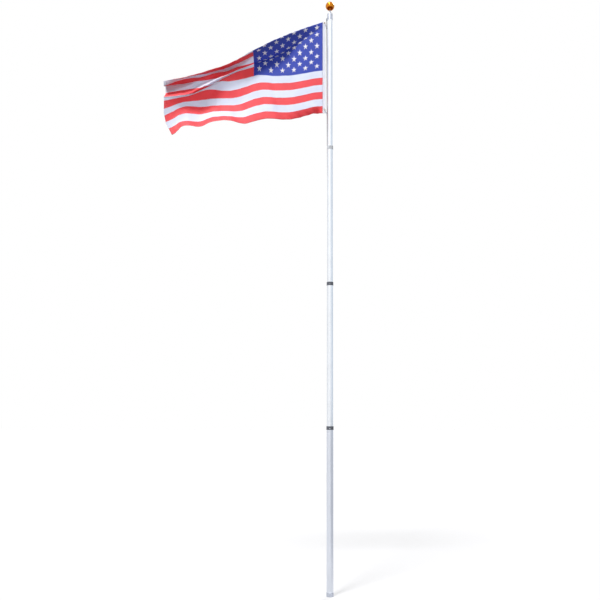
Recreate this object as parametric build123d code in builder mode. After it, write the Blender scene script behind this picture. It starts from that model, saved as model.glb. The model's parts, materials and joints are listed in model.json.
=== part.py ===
"""Sectional aluminium flagpole, from ground level up, with its flag hoisted.

Millimetres. The origin is the centre of the foot's flat underside, +Z runs up the pole and
the flag flies towards -X. The pulley sits on the side between -X and +Y, and the cleat on +Y.
"""
import os
from math import cos, pi, radians, sin, sqrt

from build123d import *

# Tubes: four lengths, each one slid into the one below
foot_tube_diameter = 58.0
tube_wall = 1.3
nesting_clearance = 0.2
foot_tube_height = 1400.0
shown_length = 1270.0
insertion = 203.0
section_count = 4

# Foot cap, a cup that closes the bottom end
foot_floor = 4.0
foot_cap_height = 34.0
foot_cap_wall = 1.6
seat_clearance = 0.1
edge_break = 0.8

# Collars that close the three joints, and their screws
collar_below = 22.0
collar_above = 9.0
collar_wall = 2.2
collar_lip_clearance = 0.15
collar_chamfer = 1.2
screw_radius = 2.4
screw_head_radius = 4.4
screw_head_height = 2.6
screw_clearance = 0.1
screw_reach = 1.5
joint_screw_drop = 11.0

# Cap at the top, its ears for the pulley, and the finial
cap_wall = 1.5
cap_skirt = 15.0
cap_body_height = 40.0
cap_dome_height = 18.0
cap_dome_width_share = 0.8
cap_dome_height_share = 0.62
cap_boss_radius = 9.0
cap_boss_height = 4.0
stem_radius = 6.0
stem_clearance = 0.05
stem_in_cap = 14.0
nut_across_flats = 19.0
nut_height = 7.0
ball_radius = 42.0
ball_wall = 1.6
ball_boss_radius = 9.5
ball_boss_drop = 1.5
ball_boss_depth = 18.0
ball_gap = 22.0

# Pulley, on the side of the cap
pulley_azimuth = 125.0
pulley_drop = 25.0
rope_diameter = 5.0
rope_clearance = 2.0
groove_radius = 12.6
groove_play = 0.3
wheel_radius = 15.0
wheel_width = 8.0
wheel_side_gap = 0.5
ear_thickness = 2.6
ear_radius = 9.0
axle_radius = 3.0
axle_clearance = 0.05
axle_head_radius = 5.0
axle_head_height = 1.6

# Cleat on the rear of the bottom tube
cleat_below_insert = 67.0
cleat_base_width = 20.0
cleat_base_length = 72.0
cleat_base_thickness = 6.0
cleat_neck_width = 12.0
cleat_neck_length = 26.0
cleat_horn_length = 150.0
cleat_horn_radius = 6.5
cleat_tip_radius = 3.2
cleat_screw_spacing = 54.0
turn_radius = 11.0
turn_centre_drop = 10.0
turn_tail = 8.0
turn_pitch = 6.0
bend_slack = 0.3

# Flag: cut size, header, grommets and snap hooks
flag_hoist = 914.0
flag_fly = 1737.0
stripe_count = 13
canton_stripes = 7
canton_fly = 695.0
cloth_thickness = 2.0
cloth_gap = 0.3
header_width = 27.0
header_thickness = 3.0
header_offset = 42.0
flag_drop = 12.0
grommet_edge = 9.0
grommet_inset = 10.0
grommet_low_inset = 36.0
grommet_hole_radius = 4.5
grommet_barrel_radius = 5.6
grommet_flange_radius = 7.5
grommet_flange_thickness = 0.8
hook_rod_radius = 1.9
hook_loop_length = 38.0
hook_loop_half_width = 6.5
hook_barrel_length = 5.0
hook_barrel_radius = 2.6
hook_sag = 1.55
swivel_length = 5.0
swivel_gap = 0.3
swivel_radius = 1.5
eye_radius = 5.1
eye_rod_radius = 1.7
flag_before_rope = 8.0
bolt_length = 13.0
bolt_wall = 1.0
bolt_play = 0.1
stud_radius = 1.2
stud_length = 3.5

# How the cloth hangs, at eight threads across the fly: three spans of canton and four beyond it.
# Reach is a share of the thread's place on the fly; drops, depths and cloth are shares of the hoist.
canton_threads = 3
beyond_threads = 4
reach_share = [1.0, 0.94, 0.941, 0.942, 0.908, 0.891, 0.874, 0.861]
top_share = [0.0, 0.088, 0.191, 0.317, 0.452, 0.536, 0.605, 0.649]
ridge_share = [0.057, 0.224, 0.388, 0.47, 0.562, 0.681, 0.793, 0.826]
bottom_share = [1.0, 1.037, 1.055, 1.078, 1.078, 1.083, 1.127, 1.16]
top_cloth_share = [0.0, 0.033, 0.066, 0.12, 0.164, 0.164, 0.213, 0.235]
ridge_cloth_share = [0.057, 0.181, 0.317, 0.383, 0.385, 0.438, 0.538, 0.547]
pleat_cloth_share = [0.007, 0.009, 0.013, 0.038, 0.082, 0.142, 0.055, 0.022]
belly_share = [0.0, 0.022, 0.06, 0.088, 0.088, 0.104, 0.109, 0.088]
ridge_depth_share = [0.0, -0.013, -0.022, -0.016, 0.0, 0.011, 0.011, 0.0]
under_share = 0.5
least_stripe_share = 0.17

# Worked out from the sizes above
tube_radii = [foot_tube_diameter / 2 - n * (tube_wall + nesting_clearance) for n in range(section_count)]
joint_heights = [foot_tube_height + n * shown_length for n in range(section_count)]
pole_top = joint_heights[-1]
top_radius = tube_radii[-1]
rope_radius = rope_diameter / 2
cap_radius = top_radius + seat_clearance + cap_wall
cap_shoulder = pole_top + cap_body_height
boss_top = cap_shoulder + cap_dome_height + cap_boss_height
ball_centre = boss_top + ball_gap + ball_radius
pulley_height = cap_shoulder - pulley_drop
pulley_reach = cap_radius + rope_clearance + rope_radius + groove_radius
pulley_out = Vector(cos(radians(pulley_azimuth)), sin(radians(pulley_azimuth)), 0)
pulley_side = Vector(pulley_out.Y, -pulley_out.X, 0)
pulley_plane = Plane(origin=(0, 0, pulley_height), x_dir=pulley_out, z_dir=pulley_side)
cleat_seat = tube_radii[0] + cleat_base_thickness
return_plane = cleat_seat + turn_pitch + rope_diameter
hoist_plane = return_plane + turn_pitch
horn_plane = hoist_plane + rope_radius + cleat_horn_radius
cleat_height = foot_tube_height - insertion - cleat_below_insert
turn_bottom = cleat_height - turn_centre_drop - turn_radius
cleat_screw_heights = [cleat_height + side * cleat_screw_spacing / 2 for side in (-1, 1)]
stripe_height = flag_hoist / stripe_count
least_stripe = stripe_height * least_stripe_share
canton_span = canton_fly / canton_threads
beyond_span = (flag_fly - canton_fly) / beyond_threads
thread_fly = [canton_span * n for n in range(canton_threads)]
thread_fly += [canton_fly + beyond_span * n for n in range(beyond_threads + 1)]
thread_reach = [fly * share for fly, share in zip(thread_fly, reach_share)]
top_drop = [flag_hoist * share for share in top_share]
ridge_drop = [flag_hoist * share for share in ridge_share]
bottom_drop = [flag_hoist * share for share in bottom_share]
top_cloth = [flag_hoist * share for share in top_cloth_share]
ridge_cloth = [flag_hoist * share for share in ridge_cloth_share]
pleat_cloth = [flag_hoist * share for share in pleat_cloth_share]
belly_depth = [flag_hoist * share for share in belly_share]
ridge_depth = [flag_hoist * share for share in ridge_depth_share]


def tube(bottom, top, radius):
    """One length of pole, open at both ends."""
    with BuildPart() as pipe:
        with BuildSketch(Plane.XY.offset(bottom)):
            Circle(radius)
            Circle(radius - tube_wall, mode=Mode.SUBTRACT)
        extrude(amount=top - bottom)
    return pipe


def screw_hole(height, facing):
    """Cut a screw's hole from the axis outwards, on the side that faces -Y or +Y."""
    with BuildSketch(Plane(origin=(0, 0, height), x_dir=(1, 0, 0), z_dir=(0, facing, 0))) as hole:
        Circle(screw_radius + screw_clearance)
    extrude(hole.sketch, amount=foot_tube_diameter, mode=Mode.SUBTRACT)


def save(node, name):
    """Label a finished piece and write it."""
    node.part.label = name
    export_step(node.part, f"parts/{name}.step")


os.makedirs("parts", exist_ok=True)

# Foot cap
with BuildPart() as foot_cap:
    with BuildSketch(Plane.XY):
        Circle(tube_radii[0] + seat_clearance + foot_cap_wall)
    extrude(amount=foot_cap_height)
    with BuildSketch(Plane.XY.offset(foot_floor)):
        Circle(tube_radii[0] + seat_clearance)
    extrude(amount=foot_cap_height - foot_floor, mode=Mode.SUBTRACT)
    chamfer(foot_cap.edges().group_by(Axis.Z)[0], edge_break)
    chamfer(foot_cap.edges().group_by(Axis.Z)[-1].sort_by(SortBy.RADIUS)[-1], edge_break)
save(foot_cap, "foot_cap")

# Tubes, with the screw holes of the joints at their ends
section_names = ["tube_foot", "tube_lower", "tube_upper", "tube_top"]
for n, name in enumerate(section_names):
    bottom = foot_floor if n == 0 else joint_heights[n - 1] - insertion
    with BuildPart() as section:
        add(tube(bottom, joint_heights[n], tube_radii[n]).part)
        if n < section_count - 1:
            screw_hole(joint_heights[n] - joint_screw_drop, -1)
        if n > 0:
            screw_hole(joint_heights[n - 1] - joint_screw_drop, -1)
        if n == 0:
            for height in cleat_screw_heights:
                screw_hole(height, 1)
    save(section, name)

# Collars and their screws
for n in range(section_count - 1):
    joint = joint_heights[n]
    outside = tube_radii[n] + seat_clearance + collar_wall
    with BuildPart() as collar:
        with BuildSketch(Plane.XZ):
            with BuildLine():
                Polyline(
                    (tube_radii[n] + seat_clearance, joint - collar_below),
                    (outside, joint - collar_below),
                    (outside, joint + collar_above),
                    (tube_radii[n + 1] + collar_lip_clearance, joint + collar_above),
                    (tube_radii[n + 1] + collar_lip_clearance, joint),
                    (tube_radii[n] + seat_clearance, joint),
                    close=True,
                )
            make_face()
        revolve(axis=Axis.Z)
        chamfer(collar.edges().group_by(Axis.Z)[-1].sort_by(SortBy.RADIUS)[-1], collar_chamfer)
        screw_hole(joint - joint_screw_drop, -1)
    save(collar, f"joint_collar_{n + 1}")
    with BuildPart() as screw:
        head_plane = Plane(origin=(0, -outside, joint - joint_screw_drop), x_dir=(1, 0, 0), z_dir=(0, -1, 0))
        with BuildSketch(head_plane):
            Circle(screw_head_radius)
        extrude(amount=screw_head_height)
        fillet(screw.faces().sort_by(Axis.Y)[0].edges(), screw_head_height / 2)
        with BuildSketch(head_plane):
            Circle(screw_radius)
        extrude(amount=-(outside - tube_radii[n + 1] + tube_wall + screw_reach))
    save(screw, f"joint_screw_{n + 1}")

# Cap with the pulley's ears, one casting
ear_offset = wheel_width / 2 + wheel_side_gap
with BuildPart() as truck_cap:
    with BuildSketch(Plane.XZ):
        with BuildLine():
            Polyline(
                (0, pole_top),
                (top_radius + seat_clearance, pole_top),
                (top_radius + seat_clearance, pole_top - cap_skirt),
                (cap_radius, pole_top - cap_skirt),
                (cap_radius, cap_shoulder),
            )
            ThreePointArc(
                (cap_radius, cap_shoulder),
                (cap_radius * cap_dome_width_share, cap_shoulder + cap_dome_height * cap_dome_height_share),
                (cap_boss_radius, cap_shoulder + cap_dome_height),
            )
            Polyline(
                (cap_boss_radius, cap_shoulder + cap_dome_height),
                (cap_boss_radius, boss_top),
                (stem_radius + stem_clearance, boss_top),
                (stem_radius + stem_clearance, boss_top - stem_in_cap),
                (0, boss_top - stem_in_cap),
                (0, pole_top),
            )
        make_face()
    revolve(axis=Axis.Z)
    for side in (-1, 1):
        with BuildSketch(pulley_plane.offset(side * (ear_offset + ear_thickness / 2))):
            with Locations((pulley_reach, 0)):
                Circle(ear_radius)
            with Locations(((pulley_reach + cap_radius / 2) / 2, 0)):
                Rectangle(pulley_reach - cap_radius / 2, 2 * ear_radius)
        extrude(amount=ear_thickness / 2, both=True)
    with BuildSketch(Plane.XY.offset(pole_top - cap_skirt)):
        Circle(top_radius + seat_clearance)
    extrude(amount=cap_skirt, mode=Mode.SUBTRACT)
    with BuildSketch(pulley_plane):
        with Locations((pulley_reach, 0)):
            Circle(axle_radius)
    extrude(amount=ear_offset + ear_thickness, both=True, mode=Mode.SUBTRACT)
save(truck_cap, "truck_cap")

# Pulley wheel and axle
wheel_half = wheel_width / 2
root_radius = groove_radius - rope_radius - groove_play
groove_half = rope_radius + groove_play
axle_line = Axis(pulley_plane.from_local_coords((pulley_reach, 0, 0)), pulley_side)
wheel_plane = Plane(origin=axle_line.position, x_dir=pulley_side, z_dir=pulley_out.cross(pulley_side))
with BuildPart() as pulley_wheel:
    with BuildSketch(wheel_plane):
        with BuildLine():
            Polyline(
                (-wheel_half, axle_radius + axle_clearance),
                (wheel_half, axle_radius + axle_clearance),
                (wheel_half, wheel_radius),
                (groove_half, wheel_radius),
            )
            Line((groove_half, wheel_radius), (groove_half, root_radius + groove_half))
            ThreePointArc(
                (groove_half, root_radius + groove_half),
                (0, root_radius),
                (-groove_half, root_radius + groove_half),
            )
            Polyline(
                (-groove_half, root_radius + groove_half),
                (-groove_half, wheel_radius),
                (-wheel_half, wheel_radius),
                (-wheel_half, axle_radius + axle_clearance),
            )
        make_face()
    revolve(axis=axle_line)
save(pulley_wheel, "pulley_wheel")

with BuildPart() as pulley_axle:
    with BuildSketch(pulley_plane):
        with Locations((pulley_reach, 0)):
            Circle(axle_radius)
    extrude(amount=ear_offset + ear_thickness, both=True)
    for side in (-1, 1):
        with BuildSketch(pulley_plane.offset(side * (ear_offset + ear_thickness + axle_head_height / 2))):
            with Locations((pulley_reach, 0)):
                Circle(axle_head_radius)
        extrude(amount=axle_head_height / 2, both=True)
save(pulley_axle, "pulley_axle")

# Finial: stem, nut and hollow ball
with BuildPart() as finial_stem:
    with BuildSketch(Plane.XY.offset(boss_top - stem_in_cap)):
        Circle(stem_radius)
    extrude(amount=stem_in_cap + ball_gap + ball_boss_depth - 2 * ball_boss_drop)
save(finial_stem, "finial_stem")

with BuildPart() as finial_nut:
    with BuildSketch(Plane.XY.offset(boss_top)):
        RegularPolygon(nut_across_flats / 2, 6, major_radius=False)
        Circle(stem_radius + stem_clearance, mode=Mode.SUBTRACT)
    extrude(amount=nut_height)
save(finial_nut, "finial_nut")

ball_inside = ball_radius - ball_wall
ball_foot = sqrt(ball_radius**2 - ball_boss_radius**2)
ball_inner_foot = sqrt(ball_inside**2 - ball_boss_radius**2)
with BuildPart() as finial_ball:
    with BuildSketch(Plane.XZ):
        with BuildLine():
            ThreePointArc(
                (ball_boss_radius, ball_centre - ball_foot),
                (ball_radius, ball_centre),
                (0, ball_centre + ball_radius),
            )
            Line((0, ball_centre + ball_radius), (0, ball_centre + ball_inside))
            ThreePointArc(
                (0, ball_centre + ball_inside),
                (ball_inside, ball_centre),
                (ball_boss_radius, ball_centre - ball_inner_foot),
            )
            Polyline(
                (ball_boss_radius, ball_centre - ball_inner_foot),
                (ball_boss_radius, ball_centre - ball_radius + ball_boss_depth),
                (stem_radius + stem_clearance, ball_centre - ball_radius + ball_boss_depth),
                (stem_radius + stem_clearance, ball_centre - ball_radius - ball_boss_drop),
                (ball_boss_radius, ball_centre - ball_radius - ball_boss_drop),
                (ball_boss_radius, ball_centre - ball_foot),
            )
        make_face()
    revolve(axis=Axis.Z)
save(finial_ball, "finial_ball")

# Cleat and its screws
with BuildPart() as cleat:
    with BuildSketch(Plane(origin=(0, 0, cleat_height), x_dir=(1, 0, 0), z_dir=(0, 1, 0))):
        RectangleRounded(cleat_base_width, cleat_base_length, cleat_base_width / 2 - edge_break)
    extrude(amount=cleat_seat)
    with BuildSketch(Plane(origin=(0, 0, cleat_height), x_dir=(1, 0, 0), z_dir=(0, 1, 0))):
        Rectangle(cleat_neck_width, cleat_neck_length)
    extrude(amount=horn_plane)
    with BuildSketch(Plane(origin=(0, 0, cleat_height), x_dir=(0, 1, 0), z_dir=(1, 0, 0))):
        with BuildLine():
            ThreePointArc(
                (horn_plane + cleat_tip_radius, -cleat_horn_length / 2),
                (horn_plane + cleat_horn_radius, 0),
                (horn_plane + cleat_tip_radius, cleat_horn_length / 2),
            )
            Polyline(
                (horn_plane + cleat_tip_radius, cleat_horn_length / 2),
                (horn_plane, cleat_horn_length / 2),
                (horn_plane, -cleat_horn_length / 2),
                (horn_plane + cleat_tip_radius, -cleat_horn_length / 2),
            )
        make_face()
    revolve(axis=Axis((0, horn_plane, cleat_height), (0, 0, 1)))
    with BuildSketch(Plane.XY.offset(cleat_height - cleat_horn_length)):
        Circle(tube_radii[0])
    extrude(amount=2 * cleat_horn_length, mode=Mode.SUBTRACT)
    for height in cleat_screw_heights:
        screw_hole(height, 1)
save(cleat, "cleat")

for height, name in zip(cleat_screw_heights, ("cleat_screw_lower", "cleat_screw_upper")):
    spot = (0, cleat_seat, height)
    with BuildPart() as cleat_screw:
        with BuildSketch(Plane(origin=spot, x_dir=(1, 0, 0), z_dir=(0, 1, 0))):
            Circle(screw_head_radius)
        extrude(amount=screw_head_height)
        fillet(cleat_screw.faces().sort_by(Axis.Y)[-1].edges(), screw_head_height / 2)
        with BuildSketch(Plane(origin=spot, x_dir=(1, 0, 0), z_dir=(0, 1, 0))):
            Circle(screw_radius)
        extrude(amount=-(cleat_base_thickness + tube_wall + screw_reach))
    save(cleat_screw, name)

# Halyard: up from the cleat, over the wheel and back down, one piece of rope
hoist_top = pulley_plane.from_local_coords((pulley_reach + groove_radius + bend_slack, groove_radius, 0))
return_top = pulley_plane.from_local_coords((pulley_reach - groove_radius, groove_radius, 0))
hoist_foot = Vector(-turn_radius, hoist_plane, turn_bottom)
return_foot = Vector(turn_radius, return_plane, turn_bottom)
with BuildPart() as halyard:
    with BuildLine() as rope_line:
        FilletPolyline(
            (turn_radius, hoist_plane, cleat_height + turn_tail),
            (turn_radius, hoist_plane, turn_bottom),
            hoist_foot,
            hoist_top,
            return_top,
            return_foot,
            (-turn_radius, return_plane, turn_bottom),
            (-turn_radius, return_plane, cleat_height + turn_tail),
            radius=[
                turn_radius - bend_slack,
                turn_radius - bend_slack,
                groove_radius,
                groove_radius,
                turn_radius - bend_slack,
                turn_radius - bend_slack,
            ],
        )
    with BuildSketch(Plane(origin=rope_line.wire() @ 0, z_dir=rope_line.wire() % 0)):
        Circle(rope_radius)
    sweep(path=rope_line.wire())
save(halyard, "halyard")


def rope_point(height):
    """The hoisting leg of the rope at a height."""
    share = (height - hoist_foot.Z) / (hoist_top.Z - hoist_foot.Z)
    return hoist_foot + (hoist_top - hoist_foot) * share


# Header and grommets
flag_top = pulley_height - wheel_radius - flag_drop
flag_plane = rope_point(flag_top).Y - flag_before_rope
header_right = -header_offset
header_left = -header_offset - header_width
grommet_x = header_right - grommet_edge
grommet_heights = [flag_top - grommet_inset, flag_top - flag_hoist + grommet_low_inset]
with BuildPart() as flag_header:
    with BuildSketch(Plane(origin=(0, flag_plane, flag_top), x_dir=(1, 0, 0), z_dir=(0, 1, 0))):
        with Locations(((header_left + header_right) / 2, flag_hoist / 2)):
            Rectangle(header_width, flag_hoist)
    extrude(amount=header_thickness / 2, both=True)
    for height in grommet_heights:
        with BuildSketch(Plane(origin=(grommet_x, flag_plane, height), x_dir=(1, 0, 0), z_dir=(0, 1, 0))):
            Circle(grommet_barrel_radius + seat_clearance)
        extrude(amount=header_thickness, both=True, mode=Mode.SUBTRACT)
save(flag_header, "flag_header")

for name, height in zip(("grommet_upper", "grommet_lower"), grommet_heights):
    middle = Plane(origin=(grommet_x, flag_plane, height), x_dir=(1, 0, 0), z_dir=(0, 1, 0))
    with BuildPart() as grommet:
        with BuildSketch(middle):
            Circle(grommet_barrel_radius)
            Circle(grommet_hole_radius, mode=Mode.SUBTRACT)
        extrude(amount=header_thickness / 2 + grommet_flange_thickness, both=True)
        for side in (-1, 1):
            with BuildSketch(middle.offset(side * (header_thickness + grommet_flange_thickness) / 2)):
                Circle(grommet_flange_radius)
                Circle(grommet_hole_radius, mode=Mode.SUBTRACT)
            extrude(amount=grommet_flange_thickness / 2, both=True)
    save(grommet, name)

# Snap hooks: a loop through the grommet, a barrel, an eye round the rope and a sliding bolt
hook_span = hook_sag + hook_loop_length + hook_rod_radius + hook_barrel_length + swivel_gap + swivel_length
for place, height in zip(("upper", "lower"), grommet_heights):
    through = Vector(grommet_x, flag_plane, height)
    aside = rope_point(height - hook_span).X - grommet_x
    ahead = flag_before_rope - eye_radius
    drop = sqrt(hook_span**2 - aside**2 - ahead**2)
    eye_centre = rope_point(height - drop)
    eye_front = eye_centre - Vector(0, eye_radius, 0)
    along = (eye_front - through).normalized()
    hook_plane = Plane(origin=through + along * hook_sag, x_dir=along, z_dir=along.cross(Vector(0, 1, 0)))
    with BuildPart() as hook:
        with BuildLine() as loop_line:
            FilletPolyline(
                hook_plane.from_local_coords((0, hook_loop_half_width, 0)),
                hook_plane.from_local_coords((0, -hook_loop_half_width, 0)),
                hook_plane.from_local_coords((hook_loop_length, -hook_loop_half_width, 0)),
                hook_plane.from_local_coords((hook_loop_length, hook_loop_half_width, 0)),
                close=True,
                radius=hook_loop_half_width - bend_slack,
            )
        with BuildSketch(Plane(origin=loop_line.wire() @ 0, z_dir=loop_line.wire() % 0)):
            Circle(hook_rod_radius)
        sweep(path=loop_line.wire())
        barrel_start = hook_plane.from_local_coords((hook_loop_length, 0, 0))
        with BuildSketch(Plane(origin=barrel_start, x_dir=(0, 1, 0), z_dir=along)):
            Circle(hook_barrel_radius)
        extrude(amount=hook_rod_radius + hook_barrel_length)
    save(hook, f"snap_hook_{place}")
    with BuildPart() as eye:
        with BuildSketch(Plane(origin=eye_centre, x_dir=(1, 0, 0), z_dir=(0, -1, 0))):
            with Locations((eye_radius, 0)):
                Circle(eye_rod_radius)
        revolve(axis=Axis(eye_centre, (0, 0, 1)))
        with BuildSketch(Plane(origin=eye_front, x_dir=(0, 1, 0), z_dir=-along)):
            Circle(swivel_radius)
        extrude(amount=swivel_length)
    save(eye, f"snap_eye_{place}")
    with BuildPart() as bolt:
        bolt_from = (hook_loop_length - bolt_length) / 2
        bolt_start = hook_plane.from_local_coords((bolt_from, hook_loop_half_width, 0))
        with BuildSketch(Plane(origin=bolt_start, x_dir=(0, 1, 0), z_dir=along)):
            Circle(hook_rod_radius + bolt_play + bolt_wall)
            Circle(hook_rod_radius + bolt_play, mode=Mode.SUBTRACT)
        extrude(amount=bolt_length)
        stud_root = hook_plane.from_local_coords(
            (hook_loop_length / 2, hook_loop_half_width + hook_rod_radius + bolt_play + bolt_wall / 2, 0)
        )
        with BuildSketch(Plane(origin=stud_root, x_dir=(1, 0, 0), z_dir=(0, 1, 0))):
            Circle(stud_radius)
        extrude(amount=stud_length)
    save(bolt, f"snap_bolt_{place}")


def seam_drops(thread):
    """How far below the top of the hoist each seam shows on one thread, folded cloth taken up."""
    edge = top_cloth[thread]
    ridge = ridge_cloth[thread]
    under = ridge + pleat_cloth[thread]
    upper_scale = (ridge_drop[thread] - top_drop[thread]) / (ridge - edge)
    lower_scale = (bottom_drop[thread] - ridge_drop[thread]) / (flag_hoist - under)
    heights = []
    for row in range(stripe_count):
        high = stripe_height * row
        low = high + stripe_height
        upper = max(0.0, min(low, ridge) - max(high, edge)) * upper_scale
        lower = max(0.0, low - max(high, under)) * lower_scale
        heights.append(max(least_stripe, upper + lower))
    fit = (bottom_drop[thread] - top_drop[thread]) / sum(heights)
    return [top_drop[thread] + fit * sum(heights[:row]) for row in range(stripe_count + 1)]


def cloth_depth(thread, drop):
    """How far the cloth stands behind the plane of the hoist."""
    upper = (drop - top_drop[thread]) / (ridge_drop[thread] - top_drop[thread])
    lower = (drop - ridge_drop[thread]) / (bottom_drop[thread] - ridge_drop[thread])
    if upper < 1:
        return belly_depth[thread] * sin(pi * upper) + ridge_depth[thread] * upper
    return ridge_depth[thread] * (1 - lower) + under_share * belly_depth[thread] * sin(pi * lower)


def cloth_piece(name, threads, first_row, last_row):
    """A piece of the sewn cloth between two seams, as a thin solid lofted along its threads."""
    with BuildPart() as cloth:
        for row in range(first_row, last_row):
            for thread in threads:
                drops = seam_drops(thread)[row : row + 2]
                if row == first_row:
                    drops[0] += cloth_gap
                face = flag_plane - cloth_thickness / 2
                front = [(face + cloth_depth(thread, drop), -drop) for drop in drops]
                back = [(depth + cloth_thickness, height) for depth, height in reversed(front)]
                reach = header_left - thread_reach[thread]
                with BuildSketch(Plane(origin=(reach, 0, flag_top), x_dir=(0, 1, 0), z_dir=(1, 0, 0))):
                    with BuildLine():
                        Polyline(*front, *back, close=True)
                    make_face()
            loft(ruled=True)
    save(cloth, name)


# Canton, then the stripes beside it and below it
cloth_piece("flag_canton", range(canton_threads + 1), 0, canton_stripes)
for n in range(stripe_count):
    colour = "red" if n % 2 == 0 else "white"
    first = canton_threads if n < canton_stripes else 0
    cloth_piece(f"stripe_{n + 1:02d}_{colour}", range(first, len(thread_fly)), n, n + 1)
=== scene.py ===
"""Sectional aluminium flagpole with its flag hoisted: visible pieces, finishes, light and camera."""
import json
import math

import bmesh
import bpy
import numpy as np
from bpy.props import FloatProperty, FloatVectorProperty, IntProperty, PointerProperty
from bpy.types import Operator, Panel, PropertyGroup
from mathutils import Matrix, Vector

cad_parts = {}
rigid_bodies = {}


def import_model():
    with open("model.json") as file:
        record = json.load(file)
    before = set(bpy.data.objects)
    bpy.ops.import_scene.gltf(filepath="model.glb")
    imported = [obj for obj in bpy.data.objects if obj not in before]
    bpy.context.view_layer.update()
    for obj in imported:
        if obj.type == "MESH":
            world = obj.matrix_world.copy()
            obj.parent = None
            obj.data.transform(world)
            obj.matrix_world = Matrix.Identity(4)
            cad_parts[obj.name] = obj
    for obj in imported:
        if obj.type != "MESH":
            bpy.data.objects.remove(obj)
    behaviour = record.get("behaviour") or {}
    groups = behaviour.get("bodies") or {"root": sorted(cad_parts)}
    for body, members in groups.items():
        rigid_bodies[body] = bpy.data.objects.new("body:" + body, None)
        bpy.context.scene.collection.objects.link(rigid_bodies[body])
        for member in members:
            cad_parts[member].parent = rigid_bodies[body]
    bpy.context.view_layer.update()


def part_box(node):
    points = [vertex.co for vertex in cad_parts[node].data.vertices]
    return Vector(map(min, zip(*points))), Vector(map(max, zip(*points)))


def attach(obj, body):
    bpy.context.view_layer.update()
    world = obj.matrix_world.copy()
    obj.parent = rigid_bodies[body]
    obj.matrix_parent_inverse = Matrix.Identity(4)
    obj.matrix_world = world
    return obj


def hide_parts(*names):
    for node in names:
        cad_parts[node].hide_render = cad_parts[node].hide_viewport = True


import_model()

bl_info = {
    "name": "Flagpole",
    "version": (1, 0, 0),
    "blender": (4, 5, 0),
    "location": "View3D > Sidebar > Flagpole",
    "description": "Visible pieces of a sectional aluminium flagpole with its flag hoisted",
    "category": "Object",
}

HEADER_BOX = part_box("flag_header")
WHEEL_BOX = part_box("pulley_wheel")


def linear(code):
    """An sRGB hex value as linear red, green, blue and alpha."""
    parts = [int(code[i : i + 2], 16) / 255 for i in (1, 3, 5)]
    return [c / 12.92 if c <= 0.04045 else ((c + 0.055) / 1.055) ** 2.4 for c in parts] + [1.0]


def colour(name, code, text):
    """A colour setting whose default is an sRGB hex value."""
    return FloatVectorProperty(
        name=name, description=text, subtype="COLOR", size=4, min=0, max=1, default=linear(code)
    )


def length(name, default, text):
    """A length setting in metres."""
    return FloatProperty(name=name, description=text, default=default, unit="LENGTH")


def number(name, default, text):
    """A plain number setting."""
    return FloatProperty(name=name, description=text, default=default)


def count(name, default, text):
    """A whole number setting."""
    return IntProperty(name=name, description=text, default=default)


# Settings


class PoleSettings(PropertyGroup):
    """Finishes of the pole's metal and plastic."""

    upper_tube: colour("Upper tubes", "#F3F6FA", "Bright satin anodising of the three upper tubes")
    foot_tube: colour("Foot tube", "#E0E4EC", "Slightly greyer anodising of the bottom tube")
    casting: colour("Castings", "#C3C8D4", "Tumbled cast aluminium of cap, cleat and foot cap")
    collar: colour("Collars", "#5A5D66", "Moulded collars of the lower two joints")
    top_collar: colour("Top collar", "#CFD2D7", "Moulded collar of the highest joint")
    ball: colour("Ball", "#E38C28", "Gold anodising of the ball")
    line_pitch: length("Drawing lines", 0.0022, "Distance between the fine lines along a tube")


class RopeSettings(PropertyGroup):
    """Size and braid of the halyard."""

    diameter: length("Diameter", 0.005, "Rope diameter")
    plait: length("Plait length", 0.022, "Length of one turn of the braid's strands")
    strands: count("Strands", 6, "Strands each way round the braid")
    tint: colour("Rope", "#262F33", "Weathered grey-green polyester")


class FlagSettings(PropertyGroup):
    """Cut size, pattern and colours of the flag."""

    hoist: length("Hoist", 0.914, "Height of the cloth at the header")
    fly: length("Fly", 1.737, "Length of the cloth from header to free edge")
    canton_fly: length("Canton", 0.695, "Length of the canton")
    stripes: count("Stripes", 13, "Number of stripes")
    canton_stripes: count("Canton stripes", 7, "Stripes beside the canton")
    thickness: length("Thickness", 0.0008, "Thickness of the shown cloth")
    star: length("Star", 0.053, "Width of a star from point to point")
    stitch_pitch: length("Stitch pitch", 0.005, "Distance between stitches")
    seam: length("Seam", 0.009, "Width of a felled seam")
    sheer: number("Sheer", 0.4, "Share of light that glows through red and white cloth")
    blue_sheer: number("Blue sheer", 0.3, "Share of light that glows through blue cloth")
    red: colour("Red", "#F5646C", "Dyed red nylon")
    white: colour("White", "#EBEFFA", "White nylon")
    blue: colour("Blue", "#3850C4", "Dyed blue nylon")


class StageSettings(PropertyGroup):
    """Camera and studio light."""

    distance: length("Distance", 6.25, "Camera's distance from the pole")
    eye_height: length("Eye height", 1.6, "Camera's height above ground")
    pitch: FloatProperty(
        name="Pitch", description="How far the camera looks up", default=math.radians(8.35), unit="ROTATION"
    )
    lens: number("Lens", 42.5, "Focal length on a 36 mm sensor")
    shift: number("Shift", -0.05, "Sideways shift that puts the pole right of centre")
    front: number("Front light", 3.8, "Strength of the soft light from the front")
    back: number("Back light", 1.6, "Strength of the light that glows through the cloth")
    fill: number("Surround", 0.38, "Strength of the white surround")


SETTINGS = {
    "flagpole_pole": PoleSettings,
    "flagpole_rope": RopeSettings,
    "flagpole_flag": FlagSettings,
    "flagpole_stage": StageSettings,
}


# Shared mesh and material helpers


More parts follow.
